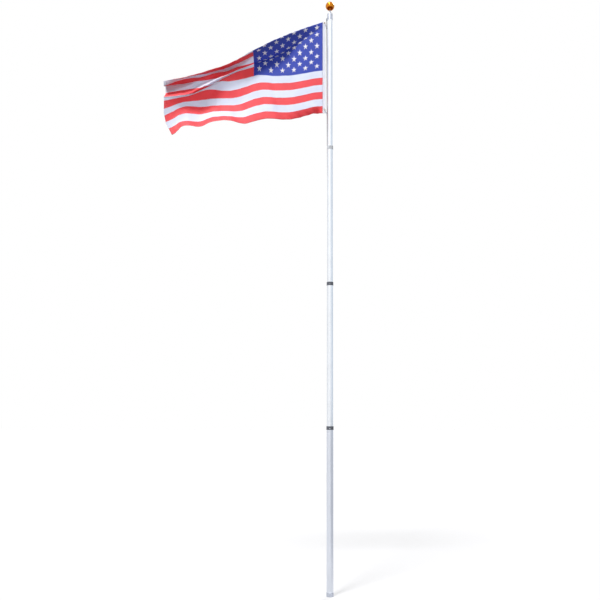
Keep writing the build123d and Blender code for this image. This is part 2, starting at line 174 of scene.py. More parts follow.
def node(tree, kind, inputs=None, **values):
    """Add a node, link its inputs or give them values by name or number, and make its settings."""
    made = tree.nodes.new(kind)
    for key, value in values.items():
        if key == "stops":
            for element, (position, tint) in zip(made.color_ramp.elements, value):
                element.position = position
                element.color = tint
        elif hasattr(made, key):
            setattr(made, key, value)
        else:
            made.inputs[key.replace("_", " ")].default_value = value
    for key, source in (inputs or {}).items():
        if isinstance(source, bpy.types.NodeSocket):
            tree.links.new(source, made.inputs[key])
        else:
            made.inputs[key].default_value = source
    return made


def surface(name, **values):
    """A material with one Principled shader and its tree."""
    made = bpy.data.materials.new(name)
    made.use_nodes = True
    shader = made.node_tree.nodes["Principled BSDF"]
    for key, value in values.items():
        shader.inputs[key.replace("_", " ")].default_value = value
    return made, made.node_tree, shader


def tone(tint, share):
    """A colour made darker or lighter by a share."""
    return [min(1.0, c * share) for c in tint[:3]] + [1.0]


def skin(tree, shader, patches, stops, grain, strength, depth, rough=None, under=None):
    """Patchy colour and a grain's bump, over another bump's normal and with roughness where given."""
    tints = node(tree, "ShaderNodeValToRGB", {"Fac": patches}, stops=stops)
    tree.links.new(tints.outputs["Color"], shader.inputs["Base Color"])
    bump = node(tree, "ShaderNodeBump", {"Height": grain}, Strength=strength, Distance=depth)
    tree.links.new(bump.outputs["Normal"], shader.inputs["Normal"])
    if under:
        tree.links.new(under, bump.inputs["Normal"])
    if rough:
        pattern, least, most = rough
        spread = node(tree, "ShaderNodeMapRange", {"Value": pattern}, To_Min=least, To_Max=most)
        tree.links.new(spread.outputs["Result"], shader.inputs["Roughness"])


def piece(name, points, faces, body, finish):
    """A new smooth mesh object at the origin that rides on a body."""
    mesh = bpy.data.meshes.new(name)
    mesh.from_pydata([tuple(p) for p in points], [], [tuple(f) for f in faces])
    return adopt(name, mesh, body, finish)


def adopt(name, mesh, body, finish):
    """Put a mesh into the scene as a piece of a body, with its finishes."""
    made = linked(name, mesh)
    for material in finish if isinstance(finish, list) else [finish]:
        mesh.materials.append(material)
    mesh.polygons.foreach_set("use_smooth", [True] * len(mesh.polygons))
    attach(made, body)
    return made


def linked(name, data):
    """A new object in the scene's collection."""
    made = bpy.data.objects.new(name, data)
    bpy.context.scene.collection.objects.link(made)
    return made


def dress(name, material):
    """Give a CAD node its finish."""
    solid = bpy.data.objects[name]
    solid.data.materials.clear()
    solid.data.materials.append(material)


def evaluated(carrier):
    """The plain mesh that an object's curve or modifiers give."""
    depsgraph = bpy.context.evaluated_depsgraph_get()
    return bpy.data.meshes.new_from_object(carrier.evaluated_get(depsgraph), depsgraph=depsgraph)


def loft(build, rings, flip=False):
    """Faces between rings of vertices, and one on the last ring."""
    faces = [rings[-1]]
    for low, high in zip(rings, rings[1:]):
        for k in range(len(low)):
            n = (k + 1) % len(low)
            faces.append((low[k], low[n], high[n], high[k]))
    for corners in faces:
        build.faces.new(tuple(reversed(corners)) if flip else tuple(corners))


def built(name, build):
    """The mesh of a finished bmesh."""
    mesh = bpy.data.meshes.new(name)
    build.to_mesh(mesh)
    build.free()
    return mesh


def scattered(name, shape, label, size, spots, turns, body, finish):
    """Copies of a shape at points, made by geometry nodes with a named input for its size."""
    shape.transform(Matrix.Scale(1 / size, 4))
    pattern = linked(name + "_shape", shape)
    points = bpy.data.meshes.new(name + "_spots")
    points.from_pydata([tuple(spot) for spot in spots], [], [])
    turn = points.attributes.new("turn", "FLOAT_VECTOR", "POINT")
    turn.data.foreach_set("vector", np.array(turns, dtype=float).ravel())
    tree = bpy.data.node_groups.new(name, "GeometryNodeTree")
    tree.interface.new_socket("Geometry", in_out="INPUT", socket_type="NodeSocketGeometry")
    socket = tree.interface.new_socket(label, in_out="INPUT", socket_type="NodeSocketFloat")
    tree.interface.new_socket("Geometry", in_out="OUTPUT", socket_type="NodeSocketGeometry")
    given = node(tree, "NodeGroupInput")
    copied = {
        "Points": given.outputs["Geometry"],
        "Instance": node(tree, "GeometryNodeObjectInfo", Object=pattern).outputs["Geometry"],
        "Rotation": node(
            tree, "GeometryNodeInputNamedAttribute", data_type="FLOAT_VECTOR", Name="turn"
        ).outputs["Attribute"],
        "Scale": given.outputs[label],
    }
    copies = node(tree, "GeometryNodeInstanceOnPoints", copied).outputs["Instances"]
    real = node(tree, "GeometryNodeRealizeInstances", {"Geometry": copies}).outputs["Geometry"]
    coat = node(tree, "GeometryNodeSetMaterial", {"Geometry": real}, Material=finish)
    node(tree, "NodeGroupOutput", {"Geometry": coat.outputs["Geometry"]})
    carrier = linked(name + "_carrier", points)
    modifier = carrier.modifiers.new("make", "NODES")
    modifier.node_group = tree
    modifier[socket.identifier] = size
    result = evaluated(carrier)
    bpy.data.objects.remove(carrier)
    bpy.data.objects.remove(pattern)
    result.name = name
    result.materials.clear()
    return adopt(name, result, body, finish)


def smooth_line(knots, values, at):
    """Smooth values at given places through knots, with no overshoot between them."""
    knots, values, at = (np.asarray(a, dtype=float) for a in (knots, values, at))
    step = np.diff(knots)
    rise = np.diff(values) / step
    slope = np.zeros_like(values)
    slope[0], slope[-1] = rise[0], rise[-1]
    both = rise[:-1] * rise[1:] > 0
    slope[1:-1][both] = 2 * (rise[:-1] * rise[1:])[both] / (rise[:-1] + rise[1:])[both]
    i = np.clip(np.searchsorted(knots, at, side="right") - 1, 0, len(step) - 1)
    t = np.clip((at - knots[i]) / step[i], 0, 1)
    h = step[i]
    return (
        values[i] * (2 * t**3 - 3 * t**2 + 1)
        + slope[i] * h * (t**3 - 2 * t**2 + t)
        + values[i + 1] * (3 * t**2 - 2 * t**3)
        + slope[i + 1] * h * (t**3 - t**2)
    )


# Metal and plastic finishes


def satin_anodised_tube(name, tint, pitch):
    """Extruded 6063 aluminium, drawn and satin anodised: soft sheen and fine lines along the tube."""
    made, tree, shader = surface(name, Metallic=1.0)
    place = node(tree, "ShaderNodeTexCoord").outputs["Object"]
    along = node(tree, "ShaderNodeMapping", {"Vector": place}, Scale=(1.0, 1.0, 0.012)).outputs["Vector"]
    # Drawing lines about 2 mm apart, coarser than the real 0.1 mm so that they show
    lines = node(tree, "ShaderNodeTexNoise", {"Vector": along}, Scale=1 / pitch, Detail=4.0).outputs["Fac"]
    # Handling and weather leave cloudy patches a hand's width long
    cloud = node(tree, "ShaderNodeTexNoise", {"Vector": place}, Scale=9.0, Detail=3.0).outputs["Fac"]
    clouds = [(0.3, tone(tint, 0.94)), (0.7, tint)]
    skin(tree, shader, cloud, clouds, lines, 0.12, 0.0004, rough=(lines, 0.3, 0.42))
    # The lines also darken the clouded colour a little
    clouded = shader.inputs["Base Color"].links[0].from_socket
    grooves = [(0.25, linear("#DDE0E6")), (0.75, linear("#FFFFFF"))]
    streaks = node(tree, "ShaderNodeValToRGB", {"Fac": lines}, stops=grooves).outputs["Color"]
    layers = {0: 0.35, 6: clouded, 7: streaks}
    mixed = node(tree, "ShaderNodeMix", layers, data_type="RGBA", blend_type="MULTIPLY")
    tree.links.new(mixed.outputs[2], shader.inputs["Base Color"])
    return made


def tumbled_casting(name, tint):
    """Sand-cast aluminium, tumbled: matte with a 1 mm grain and cloudy patches."""
    made, tree, shader = surface(name, Metallic=1.0)
    place = node(tree, "ShaderNodeTexCoord").outputs["Object"]
    grain = node(tree, "ShaderNodeTexNoise", {"Vector": place}, Scale=900.0, Detail=3.0).outputs["Fac"]
    cloud = node(tree, "ShaderNodeTexNoise", {"Vector": place}, Scale=45.0, Detail=3.0).outputs["Fac"]
    clouds = [(0.3, tone(tint, 0.82)), (0.7, tint)]
    skin(tree, shader, cloud, clouds, grain, 0.35, 0.0004, rough=(grain, 0.38, 0.58))
    return made


def gold_anodised(name, tint):
    """Spun aluminium, polished and gold anodised: mirror gloss under a deep amber oxide."""
    made, tree, shader = surface(name, Metallic=1.0, Roughness=0.1)
    place = node(tree, "ShaderNodeTexCoord").outputs["Object"]
    rings = node(tree, "ShaderNodeMapping", {"Vector": place}, Scale=(0.05, 0.05, 1.0)).outputs["Vector"]
    # Spinning leaves level rings 1.5 mm apart
    spun = node(tree, "ShaderNodeTexNoise", {"Vector": rings}, Scale=650.0, Detail=2.0).outputs["Fac"]
    # The dye takes a little unevenly, in patches of about 20 mm
    dye = node(tree, "ShaderNodeTexNoise", {"Vector": place}, Scale=50.0, Detail=2.0).outputs["Fac"]
    skin(tree, shader, dye, [(0.3, tone(tint, 0.78)), (0.7, tint)], spun, 0.05, 0.0003)
    return made


def moulded_plastic(name, tint, gloss):
    """Injection-moulded plastic, spark-textured tool: even matte skin with a fine grain."""
    made, tree, shader = surface(name)
    place = node(tree, "ShaderNodeTexCoord").outputs["Object"]
    grain = node(tree, "ShaderNodeTexNoise", {"Vector": place}, Scale=1100.0, Detail=2.0).outputs["Fac"]
    dust = node(tree, "ShaderNodeTexNoise", {"Vector": place}, Scale=70.0, Detail=4.0).outputs["Fac"]
    dusty = [(0.35, tone(tint, 0.85)), (0.7, tone(tint, 1.15))]
    skin(tree, shader, dust, dusty, grain, 0.2, 0.0003, rough=(grain, gloss, gloss + 0.15))
    return made


def turned_metal(name, tint, gloss, dull, wear):
    """Turned or stamped metal with fine tool lines, and tarnish in patches."""
    made, tree, shader = surface(name, Metallic=1.0)
    place = node(tree, "ShaderNodeTexCoord").outputs["Object"]
    spots = node(tree, "ShaderNodeTexNoise", {"Vector": place}, Scale=140.0, Detail=4.0).outputs["Fac"]
    lines = node(tree, "ShaderNodeTexNoise", {"Vector": place}, Scale=1500.0, Detail=2.0).outputs["Fac"]
    tarnish = [(0.35, tone(tint, wear)), (0.65, tint)]
    skin(tree, shader, spots, tarnish, lines, 0.1, 0.0002, rough=(spots, dull, gloss))
    return made


# Cloth finishes


def glowing(tree, shader, tint, share):
    """Let part of the light from behind through a cloth."""
    normal = shader.inputs["Normal"].links[0].from_socket
    glow = node(tree, "ShaderNodeBsdfTranslucent", {"Normal": normal}, Color=tint)
    mixed = node(tree, "ShaderNodeMixShader", {1: shader.outputs[0], 2: glow.outputs[0]}, Fac=share)
    tree.links.new(mixed.outputs[0], tree.nodes["Material Output"].inputs["Surface"])


def woven_nylon(name, tint, sheer):
    """Dyed 200-denier nylon, plain weave: silky sheen, and light from behind glows through it."""
    made, tree, shader = surface(name, Roughness=0.62, Sheen_Weight=0.1, Sheen_Roughness=0.4)
    # The UVs are metres on the flat cloth
    flat = node(tree, "ShaderNodeUVMap", uv_map="cloth").outputs["UV"]
    split = node(tree, "ShaderNodeSeparateXYZ", {"Vector": flat})
    # Threads 1.6 mm apart, coarser than the real 0.3 mm
    pitch = math.tau / 0.0016
    threads = []
    for axis in ("X", "Y"):
        across = {0: split.outputs[axis], 1: pitch}
        spaced = node(tree, "ShaderNodeMath", across, operation="MULTIPLY").outputs[0]
        threads.append(node(tree, "ShaderNodeMath", {0: spaced}, operation="SINE").outputs[0])
    weave = node(tree, "ShaderNodeMath", dict(enumerate(threads)), operation="MULTIPLY").outputs[0]
    # Handling creases, a few centimetres long, run down the cloth
    bent = node(tree, "ShaderNodeMapping", {"Vector": flat}, Scale=(22.0, 9.0, 1.0)).outputs["Vector"]
    crease = node(tree, "ShaderNodeTexNoise", {"Vector": bent}, Scale=1.0, Detail=5.0).outputs["Fac"]
    # Dye lots and sun leave soft patches a hand wide
    patch = node(tree, "ShaderNodeTexNoise", {"Vector": flat}, Scale=7.0, Detail=2.0).outputs["Fac"]
    dyed = [(0.3, tone(tint, 0.93)), (0.7, tone(tint, 1.04))]
    fine = node(tree, "ShaderNodeBump", {"Height": weave}, Strength=0.1, Distance=0.0002)
    skin(tree, shader, patch, dyed, crease, 0.35, 0.006, under=fine.outputs["Normal"])
    glowing(tree, shader, tint, sheer)
    return made


def embroidery(name, tint, thread):
    """Satin-stitched polyester thread: raised, glossy ridges side by side."""
    made, tree, shader = surface(name, Roughness=0.45, Sheen_Weight=0.2)
    place = node(tree, "ShaderNodeTexCoord").outputs["Object"]
    # At this scale the ridges lie about two thread widths apart, coarser than real ones
    close = 1 / thread / 6.28
    waved = node(tree, "ShaderNodeTexWave", {"Vector": place}, Scale=close, Distortion=1.5, Detail=2.0)
    patch = node(tree, "ShaderNodeTexNoise", {"Vector": place}, Scale=60.0, Detail=2.0).outputs["Fac"]
    soiled = [(0.3, tone(tint, 0.94)), (0.7, tint)]
    skin(tree, shader, patch, soiled, waved.outputs["Fac"], 0.25, 0.0004)
    return made


def cotton_canvas(name, tint, sheer):
    """Cotton-polyester duck, plain weave: matte and slightly slubbed."""
    made, tree, shader = surface(name, Roughness=0.9, Sheen_Weight=0.15)
    place = node(tree, "ShaderNodeTexCoord").outputs["Object"]
    # Threads about 2 mm apart, coarser than the real 1 mm so that they show
    threads = [
        node(
            tree, "ShaderNodeTexWave", {"Vector": place}, Scale=160.0, bands_direction=way, Distortion=0.6
        ).outputs["Fac"]
        for way in ("X", "Z")
    ]
    weave = node(tree, "ShaderNodeMath", dict(enumerate(threads)), operation="MULTIPLY").outputs[0]
    slub = node(tree, "ShaderNodeTexNoise", {"Vector": place}, Scale=40.0, Detail=4.0).outputs["Fac"]
    skin(tree, shader, slub, [(0.3, tone(tint, 0.9)), (0.7, tint)], weave, 0.4, 0.0004)
    glowing(tree, shader, tint, sheer)
    return made


def braided_polyester(name, tint, plait, strands):
    """Solid-braid polyester rope: strands cross both ways round it, with painted shade between them."""
    made, tree, shader = surface(name, Roughness=0.7, Sheen_Weight=0.2)
    # U is metres along the rope and V one turn round it
    marks = node(tree, "ShaderNodeUVMap", uv_map="braid").outputs["UV"]
    split = node(tree, "ShaderNodeSeparateXYZ", {"Vector": marks})
    around = math.tau * strands
    waves = []
    for way in (1, -1):
        ahead = {0: split.outputs["X"], 1: way * around / plait}
        aside = {0: split.outputs["Y"], 1: around}
        runs = [
            node(tree, "ShaderNodeMath", factors, operation="MULTIPLY").outputs[0]
            for factors in (ahead, aside)
        ]
        both = node(tree, "ShaderNodeMath", dict(enumerate(runs)), operation="ADD").outputs[0]
        waves.append(node(tree, "ShaderNodeMath", {0: both}, operation="SINE").outputs[0])
    braid = node(tree, "ShaderNodeMath", dict(enumerate(waves)), operation="MULTIPLY").outputs[0]
    height = node(tree, "ShaderNodeMapRange", {"Value": braid}, From_Min=-1.0, From_Max=1.0)
    raised = height.outputs["Result"]
    # The colour is darker where the braid is low, as painted shade between the strands
    skin(tree, shader, raised, [(0.2, tone(tint, 0.55)), (0.75, tint)], raised, 0.6, 0.0006)
    return made


# How the cloth hangs. Lengths are millimetres. Fly is the thread's place on the flat cloth, reach
# its distance from the header, and the drops are below the top of the hoist.

FLY = [0, 232, 463, 695, 955.5, 1216, 1476.5, 1737]
REACH = [0, 218, 436, 655, 868, 1083, 1290, 1495]
TOP_DROP = [0, 80, 175, 290, 413, 490, 553, 593]
RIDGE_DROP = [52, 184, 315, 392, 499, 622, 725, 755]
TOP_CLOTH = [4, 30, 60, 110, 150, 150, 195, 215]
RIDGE_CLOTH = [52, 165, 290, 350, 352, 400, 492, 500]
PLEAT_CLOTH = [4, 8, 12, 35, 75, 130, 50, 20]
PANEL_SHARES = [
    [0.3, 0.3, 0.3, 0.42, 0.3, 0.244, 0.29, 0.232],
    [0.6, 0.6, 0.6, 0.58, 0.5, 0.524, 0.525, 0.477],
    [0.8, 0.8, 0.8, 0.72, 0.65, 0.804, 0.764, 0.726],
]
PANEL_DEPTHS = [
    [0, -5, -12, 0, 50, 50, 45, 12],
    [0, 12, 25, 25, 76, 85, 95, 70],
    [0, 23, 48, 45, 80, 92, 98, 85],
]
PANEL_DROPS = [
    [15, 40, 65, 55, 8, 1, -4, 47],
    [31, 73, 113, 77, 10, 1, 17, 19],
    [42, 91, 133, 98, 25, 46, 80, 80],
]
LOWER_DROPS = [
    [0.25, 0.25, 0.25, 0.25, 0.27, 0.24, 0.14, 0.25],
    [0.5, 0.5, 0.5, 0.5, 0.54, 0.48, 0.34, 0.5],
    [0.75, 0.75, 0.75, 0.75, 0.79, 0.74, 0.72, 0.74],
]
TOP_DEPTH = [0, -20, -50, -50, -20, 0, 0, 0]
RIDGE_DEPTH = [0, 30, 60, 60, 30, 10, 10, 0]
LOWER_BELLY = [0, 3, 6, 16, 60, 84, 66, 20]
BOTTOM_REACH = [0, 64, 171, 331, 535, 621, 737, 868, 940, 1027, 1190, 1303, 1350, 1400, 1450, 1495]
BOTTOM_DROP = [914, 918, 946, 974, 971, 985, 1012, 990, 984, 991, 1046, 1037, 1045, 1076, 1105, 1122]
FLY_EDGE_DROP = [593, 640, 720, 800, 900, 1000, 1125]
FLY_EDGE_IN = [0, 0, 4, 8, 6, 30, 95]
# The shown cloth's grid: rows in each stripe, and columns in the canton and beyond it
STRIPE_ROWS = 10
CANTON_COLUMNS = 73
BEYOND_COLUMNS = 109
# The pleat under the ridge, as shares of its cloth: cloth run, depth behind and drop below the ridge
PLEAT = [(0.0, 0.0, 0.0), (0.5, 0.4, 0.1), (1.0, 0.12, 0.16)]
LOWER_SHARES = (0.25, 0.5, 0.75, 1.0)
# Waves that run down the cloth: height, length along and down it for one radian, and start
WAVES = [(11, 62, 300, 0), (2.5, 31, 130, 1.2), (1.2, 13, 60, 0)]
WAVES_FROM = 500
# The strip above the top fold hangs this far behind and above the panel, reached over the fade
STRIP_BEHIND = 10
STRIP_ABOVE = 7
STRIP_FADE = 9
# The lower hem turns back near the header, with wrinkles: height, and length along and down it
HEM_TUCK = 36
HEM_WIDTH = 76
HEM_START = 50
HEM_REACH = 450
HEM_CURVE = 1.4
HEM_WRINKLES = [(7, 13, 19), (5, 29, math.inf)]


class Hanging:
    """The hung cloth as a grid of points, and the way from flat cloth to it."""

    def __init__(self, settings, columns, rows):
        self.along = columns
        self.down = rows
        at = np.array(columns) * 1000
        hoist = settings.hoist * 1000
        lines = (TOP_DROP, RIDGE_DROP, TOP_CLOTH, RIDGE_CLOTH, PLEAT_CLOTH, TOP_DEPTH, RIDGE_DEPTH, REACH)
        top, ridge, edge, fold, pleat, rim, crest, reach = (smooth_line(FLY, line, at) for line in lines)
        belly = smooth_line(FLY, LOWER_BELLY, at)
        bottom = smooth_line(BOTTOM_REACH, BOTTOM_DROP, reach)
        shares, depths, falls, lower_falls = (
            np.array([smooth_line(FLY, values, at) for values in group])
            for group in (PANEL_SHARES, PANEL_DEPTHS, PANEL_DROPS, LOWER_DROPS)
        )
        level = np.array(rows) * 1000
        grid = np.zeros((len(at), len(level), 3))
        for i in range(len(at)):
            e, r, p = edge[i], fold[i], pleat[i]
            knots = [e, *(e + (r - e) * shares[:, i])]
            depth = [rim[i], *depths[:, i]]
            drops = [top[i] - rim[i] / 2, *(top[i] + falls[:, i])]
            for cloth, behind, below in PLEAT:
                knots.append(r + p * cloth)
                depth.append(crest[i] + p * behind)
                drops.append(ridge[i] + p * below)
            behind, start = depth[-1], drops[-1]
            for share, fall in zip(LOWER_SHARES, (*lower_falls[:, i], 1.0)):
                knots.append(r + p + (hoist - r - p) * share)
                depth.append(behind * (1 - share) + belly[i] * math.sin(math.pi * share))
                drops.append(start + (bottom[i] - start) * fall)
            # Cloth above the top fold hangs back down close behind the upper panel
            over = np.clip(e - level, 0, None)
            level_in = level + 2 * over
            y = smooth_line(knots, depth, level_in)
            z = smooth_line(knots, drops, level_in)
            # The first wave grows wider towards the lower edge, and all of them towards the free end
            lower = np.clip((level_in - r - p) / (hoist - r - p), 0, 1)
            loose = min(1.0, at[i] / WAVES_FROM)
            for (height, along, down, begin), part in zip(WAVES, (lower, 1, 1)):
                y += loose * height * part * np.sin(reach[i] / along + begin + level_in / down)
            apart = 1 - np.exp(-over / STRIP_FADE)
            y += STRIP_BEHIND * apart
            z -= STRIP_ABOVE * apart
            tuck = np.clip((level - hoist + HEM_WIDTH) / HEM_WIDTH, 0, 1) ** HEM_CURVE
            tuck *= min(1.0, reach[i] / HEM_START) * max(0.0, 1 - reach[i] / HEM_REACH)
            wrinkles = (high * np.sin(reach[i] / along + level / down) for high, along, down in HEM_WRINKLES)
            y += tuck * (HEM_TUCK + sum(wrinkles))
            z -= tuck * HEM_TUCK / 2
            # The free edge is drawn in, most at its lower corner
            fit = min(1.0, at[i] / (settings.fly * 1000)) ** 3
            pull = np.interp(z, FLY_EDGE_DROP, FLY_EDGE_IN) * fit
            grid[i] = np.stack([pull - reach[i], y, -z], axis=1)
        grid /= 1000
        low, high = HEADER_BOX
        grid += np.array([low[0], (low[1] + high[1]) / 2, high[2]])
        self.grid = grid
        across = np.gradient(grid, np.array(columns), axis=0)
        downward = np.gradient(grid, np.array(rows), axis=1)
        normal = np.cross(across, downward)
        self.normal = -normal / np.linalg.norm(normal, axis=2, keepdims=True)

    def place(self, flat):
        """Points on the hung cloth for flat points (along the fly, down the hoist, off the face)."""
        flat = np.asarray(flat, dtype=float)
        found = []
        for values, axis in ((self.along, 0), (self.down, 1)):
            values = np.asarray(values)
            i = np.clip(np.searchsorted(values, flat[:, axis], side="right") - 1, 0, len(values) - 2)
            found.append((i, np.clip((flat[:, axis] - values[i]) / (values[i + 1] - values[i]), 0, 1)))
        (i, s), (j, t) = found
        s, t = s[:, None], t[:, None]

        def between(grid):
            return (
                grid[i, j] * (1 - s) * (1 - t)
                + grid[i + 1, j] * s * (1 - t)
                + grid[i, j + 1] * (1 - s) * t
                + grid[i + 1, j + 1] * s * t
            )

        return between(self.grid) + between(self.normal) * flat[:, 2:3]


def hung_cloth(settings):
    """The cloth's grid, with columns on the canton's edge and rows on every seam."""
    canton = np.linspace(0, settings.canton_fly, CANTON_COLUMNS)
    beyond = np.linspace(settings.canton_fly, settings.fly, BEYOND_COLUMNS)[1:]
    rows = np.linspace(0, settings.hoist, settings.stripes * STRIPE_ROWS + 1)
    return Hanging(settings, list(canton) + list(beyond), list(rows))


def drape(mesh, cloth):
    """Move a mesh made on the flat cloth to where the cloth hangs."""
    flat = np.zeros(len(mesh.vertices) * 3)
    mesh.vertices.foreach_get("co", flat)
    mesh.vertices.foreach_set("co", cloth.place(flat.reshape(-1, 3)).ravel())
    mesh.update()


# Operators, one for each piece or group of like pieces


class FLAGPOLE_OT_tubes(Operator):
    """Finish the four tubes and the foot cap"""

    bl_idname = "flagpole.tubes"
    bl_label = "Tubes and foot cap"

    def execute(self, context):
        look = context.scene.flagpole_pole
        foot = satin_anodised_tube("satin anodised aluminium, foot tube", look.foot_tube, look.line_pitch)
        upper = satin_anodised_tube("satin anodised aluminium, upper tubes", look.upper_tube, look.line_pitch)
        dress("tube_foot", foot)
        for name in ("tube_lower", "tube_upper", "tube_top"):
            dress(name, upper)
        dress("foot_cap", tumbled_casting("cast aluminium, foot cap", look.casting))
        return {"FINISHED"}


class FLAGPOLE_OT_collars(Operator):
    """Finish the collars of the three joints"""

    bl_idname = "flagpole.collars"
    bl_label = "Collars"

    def execute(self, context):
        look = context.scene.flagpole_pole
        dark = moulded_plastic("moulded nylon, dark collar", look.collar, 0.5)
        light = moulded_plastic("moulded nylon, light collar", look.top_collar, 0.5)
        dress("joint_collar_1", dark)
        dress("joint_collar_2", dark)
        dress("joint_collar_3", light)
        return {"FINISHED"}


class FLAGPOLE_OT_screws(Operator):
    """Make the screws of the joints and the cleat, with their driver recesses"""

    bl_idname = "flagpole.screws"
    bl_label = "Screws"

    def execute(self, context):
        steel = turned_metal("stainless steel, turned screw", linear("#B4B8BE"), 0.25, 0.4, 0.75)
        names = ["joint_screw_1", "joint_screw_2", "joint_screw_3", "cleat_screw_lower", "cleat_screw_upper"]
        spots, turns = [], []
        for n, name in enumerate(names):
            low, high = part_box(name)
            # The joints' screws face the viewer, and the cleat's face away
            front = name.startswith("joint")
            spots.append(((low[0] + high[0]) / 2, low[1] if front else high[1], (low[2] + high[2]) / 2))
            turns.append((math.pi / 2, 0.4 * n, 0.0) if front else (-math.pi / 2, 0.5 * n, 0.0))
        made = scattered("screws", self.screw(), "Head width", 0.0088, spots, turns, "pole", steel)
        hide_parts(*names)
        return {"FINISHED"}

    def screw(self):
        """One pan-head screw along Z, its head's top at the origin, with a crossed recess."""
        profile = [(0.0024, -0.0120), (0.0024, -0.0026), (0.0043, -0.0026), (0.0044, -0.0018)]
        profile += [(0.0038, -0.0006), (0.0027, -0.0001), (0.0020, 0.0)]
        sides = 24
        angles = [k * math.tau / sides for k in range(sides)]
        rings = [([radius] * sides, height) for radius, height in profile]
        # The driver's recess is a cross, 3.6 mm wide and 1.1 mm deep
        cross = [0.0018 if k % 6 in (0, 1, 5) else 0.0007 for k in range(sides)]
        rings += [(cross, 0.0), (cross, -0.0011)]
        build = bmesh.new()
        stack = [
            [build.verts.new((r * math.cos(a), r * math.sin(a), height)) for r, a in zip(radii, angles)]
            for radii, height in rings
        ]
        loft(build, stack)
        build.faces.new(tuple(reversed(stack[0])))
        return built("screw_shape", build)


class FLAGPOLE_OT_truck(Operator):
    """Finish the cap with the pulley's ears, the wheel and its axle"""

    bl_idname = "flagpole.truck"
    bl_label = "Cap and pulley"

    def execute(self, context):
        look = context.scene.flagpole_pole
        dress("truck_cap", tumbled_casting("cast aluminium, cap", look.casting))
        dress("pulley_wheel", moulded_plastic("moulded nylon, wheel", linear("#6C7484"), 0.35))
        steel = turned_metal("stainless steel, riveted axle", linear("#A9ADB4"), 0.25, 0.4, 0.75)
        dress("pulley_axle", steel)
        return {"FINISHED"}


class FLAGPOLE_OT_finial(Operator):
    """Finish the ball, its stem and its nut"""

    bl_idname = "flagpole.finial"
    bl_label = "Ball, stem and nut"

    def execute(self, context):
        look = context.scene.flagpole_pole
        steel = turned_metal("stainless steel, threaded stem", linear("#D6D8DE"), 0.2, 0.35, 0.85)
        dress("finial_ball", gold_anodised("gold anodised aluminium", look.ball))
        dress("finial_stem", steel)
        dress("finial_nut", steel)
        return {"FINISHED"}


class FLAGPOLE_OT_cleat(Operator):
    """Finish the cleat"""

    bl_idname = "flagpole.cleat"
    bl_label = "Cleat"

    def execute(self, context):
        dress("cleat", tumbled_casting("cast aluminium, cleat", context.scene.flagpole_pole.casting))
        return {"FINISHED"}


class FLAGPOLE_OT_halyard(Operator):
    """Make the braided halyard from the cleat over the wheel and back"""

    bl_idname = "flagpole.halyard"
    bl_label = "Halyard"

    def execute(self, context):
        look = context.scene.flagpole_rope
        line = self.route()
        finish = braided_polyester("braided polyester halyard", look.tint, look.plait, look.strands)
        sides = 12
        points, faces, marks = [], [], []
        steps = np.linalg.norm(np.diff(line, axis=0), axis=1)
        travelled = np.concatenate([[0], np.cumsum(steps)])
        aside = np.array([1.0, 0.0, 0.0])
        for k, spot in enumerate(line):
            ahead = line[min(k + 1, len(line) - 1)] - line[max(k - 1, 0)]
            ahead /= np.linalg.norm(ahead)
            aside = aside - ahead * aside.dot(ahead)
            aside /= np.linalg.norm(aside)
            over = np.cross(ahead, aside)
            for n in range(sides):
                angle = n * math.tau / sides
                points.append(spot + look.diameter / 2 * (aside * math.cos(angle) + over * math.sin(angle)))
        for k in range(len(line) - 1):
            start, end = travelled[k], travelled[k + 1]
            for n in range(sides):
                low, next_low = k * sides + n, k * sides + (n + 1) % sides
                faces.append((low, next_low, next_low + sides, low + sides))
                here, there = n / sides, (n + 1) / sides
                marks += [(start, here), (start, there), (end, there), (end, here)]
        faces.append(tuple(reversed(range(sides))))
        faces.append(tuple(range(len(points) - sides, len(points))))
        marks += [(0.0, 0.0)] * (2 * sides)
        made = piece("braided_halyard", points, faces, "pole", finish)
        made.data.uv_layers.new(name="braid").data.foreach_set("uv", np.array(marks).ravel())
        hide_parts("halyard")
        return {"FINISHED"}

    def route(self):
        """The rope's smooth line, read from a spline over the route's points."""
        centre = (Vector(WHEEL_BOX[0]) + Vector(WHEEL_BOX[1])) / 2
        out = Vector((centre.x, centre.y, 0)).normalized()
        # The groove's radius, and half the distance between the rope's two turns at the cleat
        groove, turn = 0.0126, 0.011
        hoist = centre + out * (groove + 0.0003) + Vector((0, 0, groove))
        back = centre - out * groove + Vector((0, 0, groove))
        # The rope turns under the cleat's two horns, the outer layer first, and ends above them
        low, ends_at = 1.109, 1.138
        outer, inner = 0.052, 0.046
        start, finish = Vector((turn, outer, ends_at)), Vector((-turn, inner, ends_at))
        feet = [Vector((side * turn, outer, low)) for side in (1, -1)]
        ends = [Vector((side * turn, inner, low)) for side in (1, -1)]
        up = (hoist - feet[1]).normalized()
        down = (ends[0] - back).normalized()
        points = [start, feet[0], feet[1], feet[1] + up * 2 * turn, hoist - up * 2 * groove, hoist]
        points += [back, back + down * 2 * groove, ends[0] - down * 2 * turn, ends[0], ends[1], finish]
        curve = bpy.data.curves.new("halyard_line", "CURVE")
        curve.dimensions = "3D"
        curve.resolution_u = 14
        spline = curve.splines.new("NURBS")
        spline.points.add(len(points) - 1)
        for spot, point in zip(points, spline.points):
            point.co = (*spot, 1.0)
        spline.order_u = 3
        spline.use_endpoint_u = True
        carrier = linked("halyard_line", curve)
        mesh = evaluated(carrier)
        line = np.array([v.co[:] for v in mesh.vertices])
        bpy.data.objects.remove(carrier)
        bpy.data.meshes.remove(mesh)
        return line


